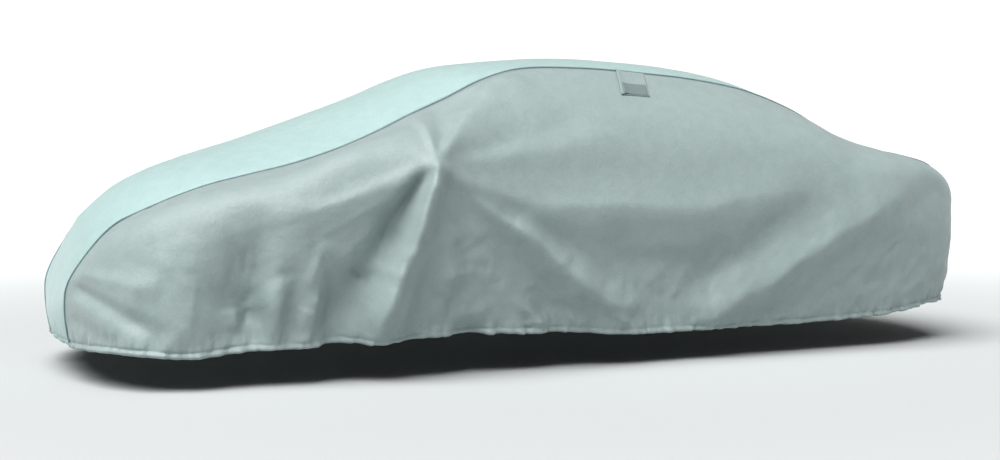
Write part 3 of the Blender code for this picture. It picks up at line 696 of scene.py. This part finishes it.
def wovenTape(name, p):
    # Polyester tape in a plain weave: matt, with a fine cross grain. Its threads are 0.3 mm
    # apart and are drawn as coarse bands, bandMm apart, so that they show.
    made = bpy.data.materials.new(name)
    made.use_nodes = True
    tree = made.node_tree
    shader = tree.nodes["Principled BSDF"]
    at = {"Vector": addNode(tree, "ShaderNodeTexCoord").outputs["Object"]}
    scale = 2 * math.pi * 1000 / p["bandMm"] / 20  # the wave node turns 20 radians a metre
    threads = {"Scale": scale, "Distortion": 0.4}
    weft = addNode(tree, "ShaderNodeTexWave", {"bands_direction": "X", **threads}, at)
    warp = addNode(tree, "ShaderNodeTexWave", {"bands_direction": "Z", **threads}, at)
    weave = addNode(
        tree, "ShaderNodeMath", {"operation": "MULTIPLY"},
        {0: weft.outputs[1], 1: warp.outputs[1]},
    )
    mix = addNode(tree, "ShaderNodeMix", {"data_type": "RGBA"}, {0: weave.outputs[0]})
    mix.inputs[mixA].default_value = linear(p["shade"])
    mix.inputs[mixB].default_value = linear(p["colour"])
    tree.links.new(mix.outputs[2], shader.inputs["Base Color"])
    bump = addNode(
        tree, "ShaderNodeBump", {"Strength": 0.4, "Distance": 0.0005},
        {"Height": weave.outputs[0]},
    )
    tree.links.new(bump.outputs[0], shader.inputs["Normal"])
    shader.inputs["Metallic"].default_value = 0.0
    shader.inputs["IOR"].default_value = 1.53
    shader.inputs["Roughness"].default_value = p["roughness"]
    shader.inputs["Sheen Weight"].default_value = 0.2
    return made


mintCloth = nonwoven("mintSpunbondPolypropylene", "mint", "mintShade")
greyCloth = nonwoven("greySpunbondPolypropylene", "grey", "greyShade")
tape = wovenTape("darkPolyesterPipingTape", pipingFinish)
labelWeave = wovenTape("greyWovenLabelPolyester", labelFinish)

for piece, finish, slotName, node in (
    (topPiece, mintCloth, "mint_cloth", "top_panel"),
    (leftPiece, greyCloth, "grey_cloth", "side_panel_left"),
    (rightPiece, greyCloth, "grey_cloth", "side_panel_right"),
    (cordLeft, tape, "piping", "piping_left"),
    (cordRight, tape, "piping", "piping_right"),
    (flapPiece, greyCloth, "grey_cloth", "label_flap"),
    (labelPiece, labelWeave, "label_cloth", "label"),
):
    piece.data.materials.append(finish)
    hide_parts(node)
    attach(piece, "root")
print("materials set")


room = {
    # the floor colour is painted shade around the cover; floorAway is the pale floor further off
    "floorSize": 400.0, "floor": "BCBFBF", "floorAway": "EDEFEF",
    "nearFloor": 2.0, "farFloor": 12.0,  # metres out between which the painted shade near the cover fades and the floor turns paler
    "floorRoughness": 0.9,
    "zenith": 0.12, "horizon": 0.95,  # brightness of the room overhead and of its far wall
    "wallHeight": 0.12,  # sine of the angle up to which the far wall shows
    "wallFade": 1.8,  # times that height at which it has faded out
    "keyFrom": (-0.40, -0.24, 1.0), "keyPower": 4.1, "keySpread": math.radians(55),
}

half = room["floorSize"] / 2
floorCorners = [(-half, -half, 0), (half, -half, 0), (half, half, 0), (-half, half, 0)]
floorMesh = bpy.data.meshes.new("paleFloor")
floorMesh.from_pydata(floorCorners, [], [(0, 1, 2, 3)])
floorPiece = bpy.data.objects.new("paleFloor", floorMesh)
floorPiece.location.z = -crown["z"]
bpy.context.collection.objects.link(floorPiece)
plaster = bpy.data.materials.new("mattPaintedFloor")  # matt white paint: no gloss at all; darker near the cover with painted shade
plaster.use_nodes = True
floorTree = plaster.node_tree
floorShader = floorTree.nodes["Principled BSDF"]
floorAt = addNode(floorTree, "ShaderNodeTexCoord").outputs["Object"]
# painted shade: the floor is darker near the cover and turns paler with distance from it
away = addNode(floorTree, "ShaderNodeVectorMath", {"operation": "LENGTH"}, {0: floorAt})
paler = addNode(
    floorTree, "ShaderNodeMapRange",
    {
        "interpolation_type": "SMOOTHSTEP",
        "From Min": room["nearFloor"], "From Max": room["farFloor"],
    },
    {"Value": away.outputs["Value"]},
)
floorMix = addNode(
    floorTree, "ShaderNodeMix", {"data_type": "RGBA"}, {0: paler.outputs["Result"]}
)
floorMix.inputs[mixA].default_value = linear(room["floor"])
floorMix.inputs[mixB].default_value = linear(room["floorAway"])
floorTree.links.new(floorMix.outputs[2], floorShader.inputs["Base Color"])
floorShader.inputs["Roughness"].default_value = room["floorRoughness"]
floorMesh.materials.append(plaster)

sky = bpy.data.worlds.new("studioSky")
bpy.context.scene.world = sky
sky.use_nodes = True
skyTree = sky.node_tree
skyAt = addNode(skyTree, "ShaderNodeTexCoord").outputs["Generated"]
upward = addNode(skyTree, "ShaderNodeSeparateXYZ", {}, {0: skyAt})
fall = addNode(
    skyTree, "ShaderNodeMapRange",
    {
        "interpolation_type": "SMOOTHSTEP",
        "From Min": room["wallHeight"], "From Max": room["wallHeight"] * room["wallFade"],
        "To Min": room["horizon"], "To Max": room["zenith"],
    },
    {"Value": upward.outputs["Z"]},
)
skyLight = skyTree.nodes["Background"]
skyTree.links.new(fall.outputs["Result"], skyLight.inputs["Strength"])
skyLight.inputs["Color"].default_value = (1, 1, 1, 1)
bpy.context.scene.view_settings.view_transform = "Standard"
bpy.context.scene.view_settings.look = "Medium High Contrast"

key = bpy.data.lights.new("overheadSoftbox", "SUN")  # one wide, even softbox over the floor
key.energy = room["keyPower"]
key.angle = room["keySpread"]
keyHolder = bpy.data.objects.new("overheadSoftbox", key)
keyHolder.rotation_mode = "QUATERNION"
keyHolder.rotation_quaternion = Vector(room["keyFrom"]).to_track_quat("Z", "Y")
bpy.context.collection.objects.link(keyHolder)

view = {  # the photograph's viewpoint, seen over the floor
    "turn": 0.43542, "tilt": 0.04642, "x": -2.92798, "y": -6.81653, "z": 0.95,
    "lensMm": 52.33, "sensorMm": 36.0,
}
looking = Vector((
    math.sin(view["turn"]) * math.cos(view["tilt"]),
    math.cos(view["turn"]) * math.cos(view["tilt"]),
    -math.sin(view["tilt"]),
))
camera = bpy.data.objects.new("photoCamera", bpy.data.cameras.new("photoCamera"))
camera.data.lens = view["lensMm"]
camera.data.sensor_width = view["sensorMm"]
camera.rotation_mode = "QUATERNION"
camera.rotation_quaternion = looking.to_track_quat("-Z", "Y")
camera.location = (view["x"] - crown["x"], view["y"], view["z"] - crown["z"])
bpy.context.collection.objects.link(camera)
bpy.context.scene.camera = camera
print("room, lights and camera set")
